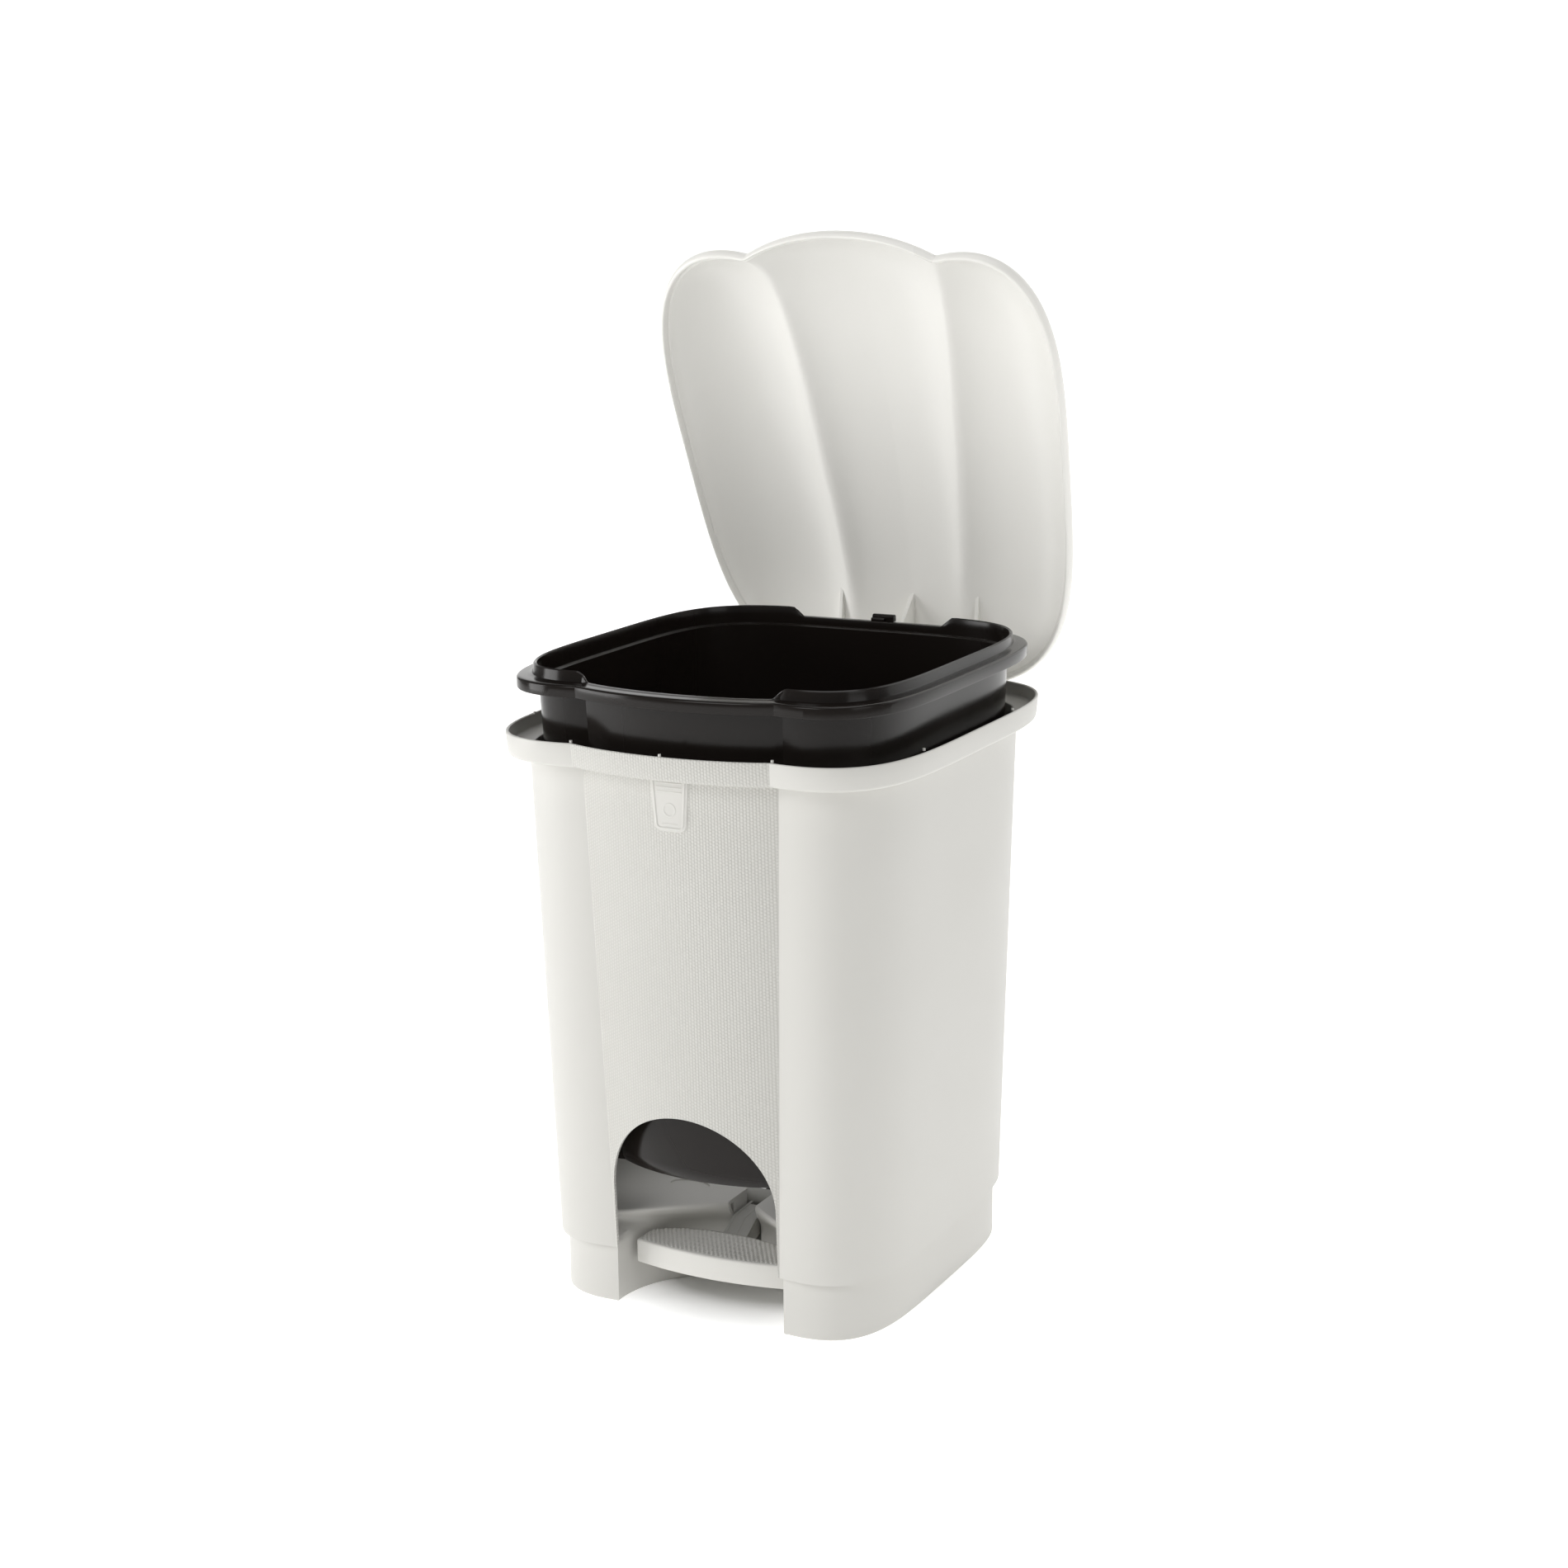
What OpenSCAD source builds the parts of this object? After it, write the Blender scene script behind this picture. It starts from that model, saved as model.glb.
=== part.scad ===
// Pedal trash can: outer shell, plinth, lift-out bucket, domed lid and pedal linkage.
// Millimetres. Z is up, the front faces -Y, and the origin is the centre of the floor face.

/* [Body] */
// Height of the shell's rim above the floor
rim_z = 400; // [380:1:420]
// Half width of the shell wall where it meets the plinth
wall_half_w = 129.5; // [120:0.5:135]
// Half depth of the shell wall where it meets the plinth
wall_half_d = 147.4; // [138:0.5:152]
// How far the rim stands out from the wall
rim_out = 12.8; // [11:0.2:14]
// Wall thickness of the mouldings
wall_t = 2.5; // [2:0.1:3]
// Height of the plinth's visible band
plinth_z = 41.5; // [36:0.5:46]
// Height of the floor that the bucket rests on
floor_z = 60; // [58:0.5:62]

/* [Bucket] */
// How far the bucket is lifted from its seat in the rest pose
bucket_lift = 38; // [0:1:60]

/* [Lid] */
// Opening angle of the lid in the rest pose
lid_open = 70; // [0:1:75]
// Height of the dome above the lid's edge
dome_h = 50; // [40:1:60]

/* [Linkage] */
// Travel of the push rod between the closed and the open lid
rod_travel = 26.4; // [24:0.1:27]
// Radius of the push rod
rod_r = 2.5; // [2:0.1:3]

/* [Hidden] */
eps = 0.01;
sides = 96;
plan_n = 4.44;          // exponent of the body's rounded plan
lid_n = 3.6;            // exponent of the lid's rounder plan
side_draft = 0.027;     // growth of the half width per mm of height
front_draft = 0.0305;
back_draft = 0.0245;
seam_x = 73;            // the front panel's edges at the rim
seam_d = 11.3;          // how far the plan steps in at those edges
seam_end = 155;
arch_r = 62;            // half width of the toe opening
arch_spring_z = 87.5;   // where the opening's straight sides meet its round top
rim_low_z = rim_z - 19; // where the wall starts to flare into the rim
ledge_z = rim_z - 10.5; // ledge inside the rim
back_y = 155.6;         // outside of the back wall just under the rim
notch_half_w = 7;       // notch in the rim for the push arm
notch_low_z = rim_z - 22;
tongue_half_w = 8;      // slot low in the back for the lever's tongue
tongue_top_z = 56;
hinge_y = 182;
hinge_z = rim_z - 26;
lug_x = 56;             // middle of each hinge
lug_t = 8;
pin_r = 3;
fit = 0.05;             // radial clearance of a running fit
lid_edge_z = rim_z + 2;
axle_y = -28;
axle_z = 50;
axle_r = 4;
rod_y = 160;
foot_z = 44;
lever_half_w = 9;
heel_arm = rod_travel / (2 * sin(lid_open / 2)); // distance from the hinge to the heel that the rod lifts
heel_r = 3;
heel_y = hinge_y - heel_arm * cos(lid_open / 2);
heel_low_z = hinge_z - heel_arm * sin(lid_open / 2);
heel_top_z = hinge_z + heel_arm * sin(lid_open / 2);
head_top_z = heel_top_z - heel_r - 0.8;
cover_y = 170.5;
shell_col = [0.92, 0.915, 0.89];
inner_col = [0.74, 0.73, 0.69];
black_col = [0.09, 0.085, 0.08];
steel_col = [0.65, 0.66, 0.68];

// ---- outline of the body in plan --------------------------------------------------------

// How far the front steps in at x: nothing in the middle and most at the two seams
function seam(x, sx, ex) =
    abs(x) < sx ? pow(x / sx, 2) : pow(max(0, (ex - abs(x)) / (ex - sx)), 2);

// One closed outline at height z, from its half width and its front and back reaches
function outline(hw, front, back, z, step = seam_d, sx = seam_x, ex = seam_end, taper = 0, n = plan_n) = [
    for (i = [0 : sides - 1])
        let (a = 360 * i / sides, c = cos(a), s = sin(a))
        let (r = pow(pow(abs(c), n) + pow(abs(s), n), -1 / n))
        let (y0 = (back - front) / 2 + (back + front) / 2 * r * s)
        let (x = hw * r * c * (1 - taper * y0))
        [x, y0 + (s < 0 ? step * seam(x, sx, ex) : 0), z]];

// The drafted shell wall at height z, moved out by an offset
function wall_ring(z, out = 0, dz = 0) =
    let (h = z - plinth_z)
    outline(wall_half_w + side_draft * h + out, wall_half_d + front_draft * h + out,
        wall_half_d + back_draft * h + out, z + dz, step = seam_d + 2.5 - 0.007 * h, sx = 63 + 0.028 * h);

// ---- solids made from stacked outlines ----------------------------------------------------

function quad_faces(rows, closed) = [
    for (i = [0 : rows - (closed ? 1 : 2)], j = [0 : sides - 1])
        let (k = (j + 1) % sides, n = (i + 1) % rows)
        each [[i * sides + j, n * sides + j, n * sides + k], [i * sides + j, n * sides + k, i * sides + k]]];

// A solid with a flat first and last outline
module capped(rings) {
    rows = len(rings);
    polyhedron(points = [for (r = rings) each r], faces = concat(
        [[for (j = [0 : sides - 1]) j]],
        quad_faces(rows, false),
        [[for (j = [sides - 1 : -1 : 0]) (rows - 1) * sides + j]]));
}

// A solid whose last outline joins its first, so that it is open through the middle
module looped(rings) {
    polyhedron(points = [for (r = rings) each r], faces = quad_faces(len(rings), true));
}

// A prism across X from a side outline of [y, z] points
module side_prism(points, x0, x1) {
    translate([x0, 0, 0]) rotate([90, 0, 90]) linear_extrude(x1 - x0) polygon(points);
}

// A cylinder along X
module rod_x(r, x0, x1, y, z) {
    translate([x0, y, z]) rotate([0, 90, 0]) cylinder(r = r, h = x1 - x0, $fn = 48);
}

module box(from, to) {
    translate(from) cube(to - from);
}

module about_hinge(angle) {
    translate([0, hinge_y, hinge_z]) rotate([angle, 0, 0]) translate([0, -hinge_y, -hinge_z]) children();
}

// ---- fixed mouldings ----------------------------------------------------------------------

// Toe opening in the shell's front: straight sides and a round top
module arch_cut() {
    translate([0, -100, 0]) rotate([90, 0, 0]) linear_extrude(80) union() {
        translate([0, arch_spring_z]) circle(r = arch_r, $fn = sides);
        translate([-arch_r, 0]) square([2 * arch_r, arch_spring_z]);
    }
}

module outer_shell() {
    color(shell_col) difference() {
        looped([
            wall_ring(plinth_z), wall_ring(rim_low_z), wall_ring(rim_z - 16.5, 9),
            wall_ring(rim_z - 14, rim_out - 1.2), wall_ring(rim_z, rim_out),
            wall_ring(rim_z, rim_out - 2), wall_ring(ledge_z + 0.5, rim_out - 2.4),
            wall_ring(ledge_z, -wall_t), wall_ring(plinth_z, -wall_t)]);
        arch_cut();
        box([-notch_half_w, back_y, notch_low_z], [notch_half_w, back_y + 20, rim_z + 2]);
        box([-tongue_half_w, 140, 0], [tongue_half_w, 150, tongue_top_z]);
    }
}

// Small buffers on the rim that carry the closed lid: their places on one side and in the middle
buffer_places = [[0, -169.4], [74, -156], [146.5, -84], [148.5, 60], [90, 164.5]];
buffer_r = 1;
buffer_h = 1.6;
module rim_buffers() {
    color(shell_col)
        for (p = buffer_places, s = [-1, 1])
            if (s > 0 || p[0] > 0)
                translate([s * p[0], p[1], rim_z]) cylinder(r = buffer_r, h = buffer_h, $fn = 24);
}

// Plain raised plaque on the front panel: a shield with two round lower corners, leaning with the wall
badge_y = -157.32;
badge_z = 365;
badge_t = 1.6;
badge_lean = 1.75;
badge_corner_r = 4.2;
badge_corner_x = 8;
module front_badge() {
    color(shell_col) translate([0, badge_y, badge_z]) rotate([90 + badge_lean, 0, 0]) linear_extrude(badge_t) {
        polygon([[-14, 15.4], [-12, -12], [12, -12], [14, 15.4]]);
        translate([-badge_corner_x, -18]) square([2 * badge_corner_x, 7]);
        for (x = [-badge_corner_x, badge_corner_x])
            translate([x, badge_corner_r - 18]) circle(r = badge_corner_r, $fn = 48);
    }
}

// Side outline of the toe space between the front feet
toe_side = [[64, -160], [64, -120], [60, -98], [44, -74], [18, -57]];
function both_sides(p) = concat(p, [for (i = [len(p) - 1 : -1 : 0]) [-p[i][0], p[i][1]]]);
function plinth_plan(in, z = 0) =
    [for (p = outline(wall_half_w - 3.2 - in, wall_half_d - 6.2 - in, wall_half_d - 5.7 - in, 0, sx = 62))
        [p[0], p[1]]];

boss_x = 53;            // middle of each axle boss under the floor
shaft_half_w = 41;      // half length of the slot for the lever's cross shaft
seat_rx = 15;           // the shallow oval seat beside the shaft
seat_ry = 9.3;
seat_depth = 1.2;

module base_plinth() {
    color(shell_col) difference() {
        union() {
            difference() {
                linear_extrude(floor_z) polygon(plinth_plan(0));
                translate([0, 0, -1]) linear_extrude(floor_z - wall_t + 1) polygon(plinth_plan(wall_t));
            }
            intersection() {
                linear_extrude(floor_z) polygon(plinth_plan(0));
                linear_extrude(floor_z) polygon(both_sides(
                    [[66.5, -160], [66.5, -119.3], [62.2, -96.8], [45.7, -72.1], [18.8, -54.5]]));
            }
            for (s = [-1, 1])
                translate([s * boss_x, axle_y, floor_z - 11]) cube([18, 20, 18], center = true);
        }
        translate([0, 0, -1]) linear_extrude(floor_z + 2) polygon(both_sides(toe_side));
        box([-lever_half_w - 1.5, -60, -1], [lever_half_w + 1.5, -30, floor_z + 1]);
        box([-shaft_half_w, axle_y - 9, axle_z - 8.5], [shaft_half_w, axle_y + 9, floor_z + 1]);
        for (s = [-1, 1])
            translate([s * 51, -48, floor_z - seat_depth]) scale([seat_rx, seat_ry, 1]) cylinder(r = 1, h = 3, $fn = 64);
        box([-tongue_half_w, 130, -1], [tongue_half_w, 150, tongue_top_z]);
        rod_x(axle_r + fit, -63, 63, axle_y, axle_z);
    }
}

// Two cheeks and a back plate that hold one hinge pin
cheek_out = 9;
cheek_t = 4;
knuckle_r = 7;
module hinge_bracket(side) {
    color(shell_col) difference() {
        for (x = [side * lug_x - cheek_out, side * lug_x + cheek_out - cheek_t]) {
            side_prism([[158, 350], [hinge_y, 368], [hinge_y, 380], [158, 380]], x, x + cheek_t);
            rod_x(knuckle_r, x, x + cheek_t, hinge_y, hinge_z);
        }
        rod_x(pin_r + fit, side * lug_x - 12, side * lug_x + 12, hinge_y, hinge_z);
    }
    color(shell_col) side_prism([[155.9, 349], [158, 350], [158, 380], [156.3, 380]],
        side * lug_x - cheek_out, side * lug_x + cheek_out);
}
module hinge_bracket_left() { hinge_bracket(-1); }
module hinge_bracket_right() { hinge_bracket(1); }

module hinge_pin(side) {
    color(steel_col) {
        rod_x(pin_r, side * lug_x - 10, side * lug_x + 10, hinge_y, hinge_z);
        rod_x(pin_r + 2, side * lug_x + (side > 0 ? 9.2 : -11.2), side * lug_x + (side > 0 ? 11.2 : -9.2),
            hinge_y, hinge_z);
    }
}
module hinge_pin_left() { hinge_pin(-1); }
module hinge_pin_right() { hinge_pin(1); }

// Channel on the back wall that covers the push rod
module rod_cover() {
    side = [[147.9, plinth_z], [156.1, 377], [cover_y, 377], [cover_y, 3], [142.4, 3], [142.4, plinth_z]];
    color(shell_col) {
        side_prism(side, -17, -15);
        side_prism(side, 15, 17);
        difference() {
            box([-15, cover_y - 2, 3], [15, cover_y, 377]);
            box([-5.5, cover_y - 3, 355], [5.5, cover_y + 1, 378]);
        }
    }
}

module rod_guide(z) {
    color(inner_col) difference() {
        box([-14.7, 157, z], [14.7, 168.2, z + 8]);
        translate([0, rod_y, z - 1]) cylinder(r = rod_r + fit, h = 10, $fn = 48);
    }
}
module rod_guide_lower() { rod_guide(110); }
module rod_guide_upper() { rod_guide(320); }

module pedal_axle() {
    color(steel_col) rod_x(axle_r, -64.5, 64.5, axle_y, axle_z);
}

module axle_cap(side) {
    color(inner_col) difference() {
        rod_x(6.5, side > 0 ? 62.3 : -66.5, side > 0 ? 66.5 : -62.3, axle_y, axle_z);
        rod_x(axle_r + fit, -64.6, 64.6, axle_y, axle_z);
    }
}
module axle_cap_left() { axle_cap(-1); }
module axle_cap_right() { axle_cap(1); }

// ---- lid ------------------------------------------------------------------------------------

// Share of the dome's height at a share of the way out to the edge
function dome(f) = pow(1 - pow(f, 3), 0.62);
// Depth of the two grooves that part the dome's three lobes
function groove(x, y) = 6 * exp(-pow((abs(x) - 56 + 0.075 * y) / 10, 2));
function lid_ring(f, in = 0, drop = 0) = [
    for (p = outline(153.5 - in, 178 - in, 186 - in, 0, step = 15, sx = 73, ex = 150, taper = 0.00045, n = lid_n))
        [p[0] * f, p[1] * f,
            lid_edge_z - drop + (dome_h * dome(f) - groove(p[0] * f, p[1] * f) * (1 - pow(f, 6))) * (f < 1 ? 1 : 0)]];

module lid_arm(side) {
    x0 = side * lug_x - lug_t / 2;
    rod_x(6.5, x0, x0 + lug_t, hinge_y, hinge_z);
    side_prism([[175.5, hinge_z], [188.5, hinge_z], [188.5, 396], [184, 404], [176, 415], [168, 419.5],
        [168, 408], [175.5, 398]], x0, x0 + lug_t);
}

// The arm that the push rod lifts, with a round heel
module push_arm() {
    rod_x(heel_r, -4, 4, heel_y, heel_low_z);
    side_prism([[heel_y - 2.1, heel_low_z + 2.1], [heel_y + 2.1, heel_low_z - 2.1], [171.5, 372],
        [172.5, 378], [172.5, 418.5], [166, 423.5], [166, 373]], -4, 4);
}

module lid_closed() {
    steps = [0.975, 0.93, 0.86, 0.76, 0.62, 0.44, 0.22];
    difference() {
        union() {
            capped(concat(
                [for (i = [len(steps) - 1 : -1 : 0]) lid_ring(steps[i], 2.4, 2.2)],
                [lid_ring(1, 2.4), lid_ring(1)],
                [for (f = steps) lid_ring(f)]));
            lid_arm(-1);
            lid_arm(1);
            push_arm();
        }
        rod_x(pin_r + fit, -70, 70, hinge_y, hinge_z);
    }
}

module lid() {
    color(shell_col) about_hinge(-lid_open) lid_closed();
}

// ---- pedal linkage ----------------------------------------------------------------------------

// D-shaped foot pad: a shallow curve in front and a deeper one behind
tread_plan = concat(
    [for (i = [0 : 8]) let (x = -57 + 114 * i / 8) [x, -121 + 7 * pow(x / 57, 2)]],
    [for (a = [0 : 12 : 180]) [57 * cos(a), -100 + 23 * sin(a)]]);

module pedal_tread() {
    color(shell_col) difference() {
        translate([0, 0, 25]) linear_extrude(18) polygon(tread_plan);
        translate([0, -4.5, 24]) linear_extrude(16) polygon(
            [for (p = tread_plan) [p[0] * 0.93, -100 + (p[1] + 100) * 0.86 + 3]]);
        box([-13.2, -100, 24], [13.2, -70, 40.2]);
    }
}

// Side outline of the lever's three upright ribs, and of the web that joins them underneath
lever_rib = [[-112, 28], [-80, 28], [-46, 40], [126, 38.5], [126, 49.5], [-12, 51], [-62, 49], [-79, 39.8],
    [-112, 39.8]];
lever_web = [[-112, 28], [-80, 28], [-46, 40], [126, 38.5], [126, 40.7], [-46, 42.4], [-80, 30.4], [-112, 30.4]];

module pedal_lever() {
    color(inner_col) difference() {
        union() {
            for (x = [-lever_half_w, -1, lever_half_w - 2])
                side_prism(lever_rib, x, x + 2);
            side_prism(lever_web, -lever_half_w, lever_half_w);
            rod_x(7, -40, 40, axle_y, axle_z);
            box([-5, 60, 39.5], [5, 165, 48.5]);
            box([-lever_half_w, 122, 39.5], [lever_half_w, 126, 48.5]);
        }
        rod_x(axle_r + fit, -41, 41, axle_y, axle_z);
        rod_x(2.4, -6, 6, rod_y, foot_z);
        box([-6, rod_y, foot_z - 2.4], [6, 166, foot_z + 2.4]);
    }
}

module push_rod() {
    color(steel_col) translate([0, rod_y, 52]) cylinder(r = rod_r, h = head_top_z - 3 - 52, $fn = 48);
}

module rod_head() {
    color(inner_col) difference() {
        box([-6.5, 155.8, head_top_z - 7], [6.5, 166, head_top_z]);
        translate([0, rod_y, head_top_z - 8]) cylinder(r = rod_r, h = 5, $fn = 48);
    }
}

// Fork that joins the rod to the lever
module rod_foot() {
    color(inner_col) difference() {
        box([-9, 154, 37], [9, 166.5, 60]);
        box([-5.3, 153, 36], [5.3, 167, 51.5]);
        translate([0, rod_y, 51]) cylinder(r = rod_r, h = 10, $fn = 48);
        rod_x(2 + fit, -10, 10, rod_y, foot_z);
    }
}

module rod_foot_pin() {
    color(steel_col) rod_x(2, -9.5, 9.5, rod_y, foot_z);
}

// ---- bucket -----------------------------------------------------------------------------------

// Raised lip inside the flange: low in the middle of the front and the back
function lip_z(x) = rim_z - 0.5 + 7 * min(1, max(0, (abs(x) - 62) / 8));
function lip_ring(z, out) = [for (p = wall_ring(rim_z, out)) [p[0], p[1], lip_z(p[0]) + bucket_lift]];

module bucket() {
    up = bucket_lift;
    color(black_col) capped([
        wall_ring(floor_z + 3, -24, up), wall_ring(floor_z + 4, -18, up), wall_ring(floor_z + 10, -13, up),
        wall_ring(rim_z - 12, -8, up), lip_ring(0, -6), lip_ring(0, -3.5),
        wall_ring(rim_z - 1, -2.5, up), wall_ring(rim_z - 1, 4.6, up), wall_ring(rim_z - 2.5, 5.6, up),
        wall_ring(rim_z - 9, 6, up), wall_ring(rim_z - 9, 4, up), wall_ring(rim_z - 3.2, 3.6, up),
        wall_ring(rim_z - 3.5, -6, up), wall_ring(floor_z + 12, -11, up), wall_ring(floor_z + 3, -15, up),
        wall_ring(floor_z, -22, up)]);
}

// Small hook on the back of the bucket's rim
module bucket_tab() {
    color(black_col) translate([0, 0, bucket_lift]) {
        box([-9, 158, rim_z - 0.9], [9, 160.5, rim_z + 7]);
        box([-9, 153.4, rim_z + 4.5], [9, 158, rim_z + 7]);
    }
}

outer_shell();
rim_buffers();
front_badge();
base_plinth();
hinge_bracket_left();
hinge_bracket_right();
hinge_pin_left();
hinge_pin_right();
rod_cover();
rod_guide_lower();
rod_guide_upper();
pedal_axle();
axle_cap_left();
axle_cap_right();
lid();
pedal_tread();
pedal_lever();
push_rod();
rod_head();
rod_foot();
rod_foot_pin();
bucket();
bucket_tab();
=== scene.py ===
# %% [markdown]
# # A pedal bin, drawn around its working frame
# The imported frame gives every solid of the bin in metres, with its joints. This lesson dresses that
# frame: the big mouldings get smooth walls, rounded edges and moulded detail, and every part gets a
# plastic or steel of its own. Nothing is moved. A drawn piece only takes the place of a frame solid.

import math

import bmesh
import bpy
import numpy as np
from mathutils import Matrix, Vector


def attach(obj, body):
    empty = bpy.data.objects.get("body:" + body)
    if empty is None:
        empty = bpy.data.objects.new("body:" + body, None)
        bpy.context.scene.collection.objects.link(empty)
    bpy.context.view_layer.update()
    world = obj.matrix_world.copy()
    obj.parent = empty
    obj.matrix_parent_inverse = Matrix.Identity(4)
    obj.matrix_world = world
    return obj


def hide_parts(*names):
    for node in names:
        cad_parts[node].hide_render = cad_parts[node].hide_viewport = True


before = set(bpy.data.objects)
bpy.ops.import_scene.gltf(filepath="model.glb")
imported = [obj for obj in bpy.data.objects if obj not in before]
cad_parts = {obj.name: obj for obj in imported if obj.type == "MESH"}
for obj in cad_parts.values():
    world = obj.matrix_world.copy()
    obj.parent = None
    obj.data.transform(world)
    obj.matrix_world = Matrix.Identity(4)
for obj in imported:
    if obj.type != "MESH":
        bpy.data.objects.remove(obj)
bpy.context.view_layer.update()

# %% [markdown]
# ## Sizes that the pieces share
# All sizes below are millimetres, because a maker thinks of a bin in millimetres. The mesh builder
# turns them into metres once, at the very end.

# %% Shared sizes
MM = 0.001
RIM_Z = 400.0
WALL_BOTTOM = 41.5
RIM_START = 381.0
WALL = 2.5
FLOOR_Z = 60.0
BUCKET_LIFT = 38.0
LID_OPEN = math.radians(70)
HINGE = (182.0, 374.0)
LID_EDGE = 402.0
DOME = 48.6
ARCH_R = 62.0
ARCH_SPRING = 87.5
PLAN_POWER = 4.44
print("rim at", RIM_Z, "mm, lid open by", round(math.degrees(LID_OPEN)), "degrees")

# %% [markdown]
# ## The plan of the bin
# Seen from above, the bin is a rounded rectangle whose front is drawn in at two upright seams. The
# rounded rectangle is a superellipse, x to the n plus y to the n equals one. The front then gets a
# step that is nothing in the middle, greatest at each seam, and fades along the corner.


# %% Plan of the body
def seam_step(x, at, end):
    """Share of the step at x: (x / at) squared inside the seam, a fading square outside it."""
    inside = (x / at) ** 2
    outside = np.clip((end - np.abs(x)) / (end - at), 0, None) ** 2
    return np.where(np.abs(x) < at, inside, outside)


def wall_sizes(z, out):
    """Half width, front reach, back reach, step and seam place of the drafted wall at height z."""
    h = z - WALL_BOTTOM
    wide = 129.5 + 0.027 * h + out
    front = 147.4 + 0.0305 * h + out
    back = 147.4 + 0.0245 * h + out
    return wide, front, back, 13.8 - 0.007 * h, 63 + 0.028 * h


def wall_points(angle, z, out, top=None):
    """Points on the wall: the superellipse at this angle, height and offset, with the front step."""
    wide, front, back, step, at = wall_sizes(z, out)
    c, s = np.cos(angle), np.sin(angle)
    r = (np.abs(c) ** PLAN_POWER + np.abs(s) ** PLAN_POWER) ** (-1 / PLAN_POWER)
    x = wide * r * c
    y = (back - front) / 2 + (back + front) / 2 * r * s
    y = y + np.where(s < 0, step * seam_step(x, at, 155.0), 0)
    height = z if top is None else top
    return np.stack([x, y, np.broadcast_to(height, x.shape)], axis=-1)


def front_angle(x, z, out):
    """The angle below zero at which the front of the plan passes through this x."""
    wide = wall_sizes(z, out)[0]
    u = x / wide
    return -np.arctan2((1 - u**PLAN_POWER) ** (1 / PLAN_POWER), u)


def spread(stops, counts):
    """Columns of angles: even steps between each pair of stops, for every row at once."""
    spans = zip(stops, stops[1:], counts)
    parts = [a + (b - a) * np.linspace(0, 1, n, endpoint=False) for a, b, n in spans]
    return np.concatenate(parts + [stops[-1] + np.zeros((1, 1))], axis=1)


print("half width at the rim:", round(float(wall_sizes(RIM_Z, 12.8)[0]), 1), "mm")

# %% [markdown]
# ## From grids of points to a mesh
# Every surface here is a grid: rows one way, columns the other. One helper turns any number of grids
# into one mesh, joins the edges that meet, turns the faces outwards and shades it smooth, with sharp
# lines only where two faces meet at a clear angle.


# %% Mesh builder
def quads(rows, cols, close_rows, close_cols):
    """Corner numbers of every four-sided face of a grid that may join up with itself either way."""
    i, j = np.meshgrid(np.arange(rows - (not close_rows)), np.arange(cols - (not close_cols)), indexing="ij")
    ni, nj = (i + 1) % rows, (j + 1) % cols
    return np.stack([i * cols + j, i * cols + nj, ni * cols + nj, ni * cols + j], axis=-1).reshape(-1, 4)


def piece(name, grids, body, stands_for, sharp=27, bevel=0.0, outward=True):
    """One object from grids of (points, close_rows, close_cols), placed by its mesh in metres."""
    points, faces, start = [], [], 0
    for grid, close_rows, close_cols in grids:
        rows, cols = grid.shape[:2]
        points.append(grid.reshape(-1, 3))
        faces.append(quads(rows, cols, close_rows, close_cols) + start)
        start += rows * cols
    mesh = bpy.data.meshes.new(name)
    mesh.from_pydata((np.concatenate(points) * MM).tolist(), [], np.concatenate(faces).tolist())
    work = bmesh.new()
    work.from_mesh(mesh)
    bmesh.ops.remove_doubles(work, verts=work.verts, dist=2e-6)
    bmesh.ops.dissolve_degenerate(work, edges=work.edges, dist=1e-7)
    if outward:
        bmesh.ops.recalc_face_normals(work, faces=work.faces)
    work.to_mesh(mesh)
    work.free()
    thing = bpy.data.objects.new(name, mesh)
    bpy.context.scene.collection.objects.link(thing)
    smooth(thing, sharp)
    if bevel:
        round_edges(thing, bevel)
    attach(thing, body)
    if stands_for:
        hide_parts(*stands_for)
    open_edges = sum(1 for n in edge_use(mesh) if n != 2)
    print(f"{name}: {len(mesh.polygons)} faces, {open_edges} open edges")
    return thing


def edge_use(mesh):
    """How many faces use each edge, counted from the loops."""
    loops = np.empty(len(mesh.loops), np.int32)
    mesh.loops.foreach_get("edge_index", loops)
    return np.bincount(loops, minlength=len(mesh.edges))


def smooth(thing, sharp):
    """Smooth shading, with edges sharper than this many degrees left crisp."""
    mesh = thing.data
    mesh.polygons.foreach_set("use_smooth", np.ones(len(mesh.polygons), bool))
    mesh.set_sharp_from_angle(angle=math.radians(sharp))


def round_edges(thing, width, limit=40, segments=2):
    """A small real radius on every clear edge, as any moulding tool leaves."""
    rounder = thing.modifiers.new("rounded edges", "BEVEL")
    rounder.width = width * MM
    rounder.segments = segments
    rounder.limit_method = "ANGLE"
    rounder.angle_limit = math.radians(limit)
    rounder.harden_normals = True


print("mesh builder ready")

# %% [markdown]
# ## Blocks from a side outline
# Arms, brackets and ribs are flat outlines with a thickness. Swept across X, such an outline is a
# small grid: its points along one way, the two ends along the other, and a fan for each end.


# %% Prisms across X
def prism(outline, x0, x1):
    """Closed grid swept from x0 to x1: the outline's points, and both ends drawn in to their middle."""
    ring = np.array(outline, float)
    mid = ring.mean(axis=0)
    layers = [(x0, mid + 0 * ring), (x0, ring), (x1, ring), (x1, mid + 0 * ring)]
    grid = np.stack([np.column_stack([np.full(len(ring), x), yz]) for x, yz in layers])
    return grid, False, True


def turned(grid, angle=-LID_OPEN):
    """The same points turned about the lid's hinge line."""
    y, z = grid[..., 1] - HINGE[0], grid[..., 2] - HINGE[1]
    c, s = math.cos(angle), math.sin(angle)
    return np.stack([grid[..., 0], HINGE[0] + c * y - s * z, HINGE[1] + s * y + c * z], axis=-1)


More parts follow.
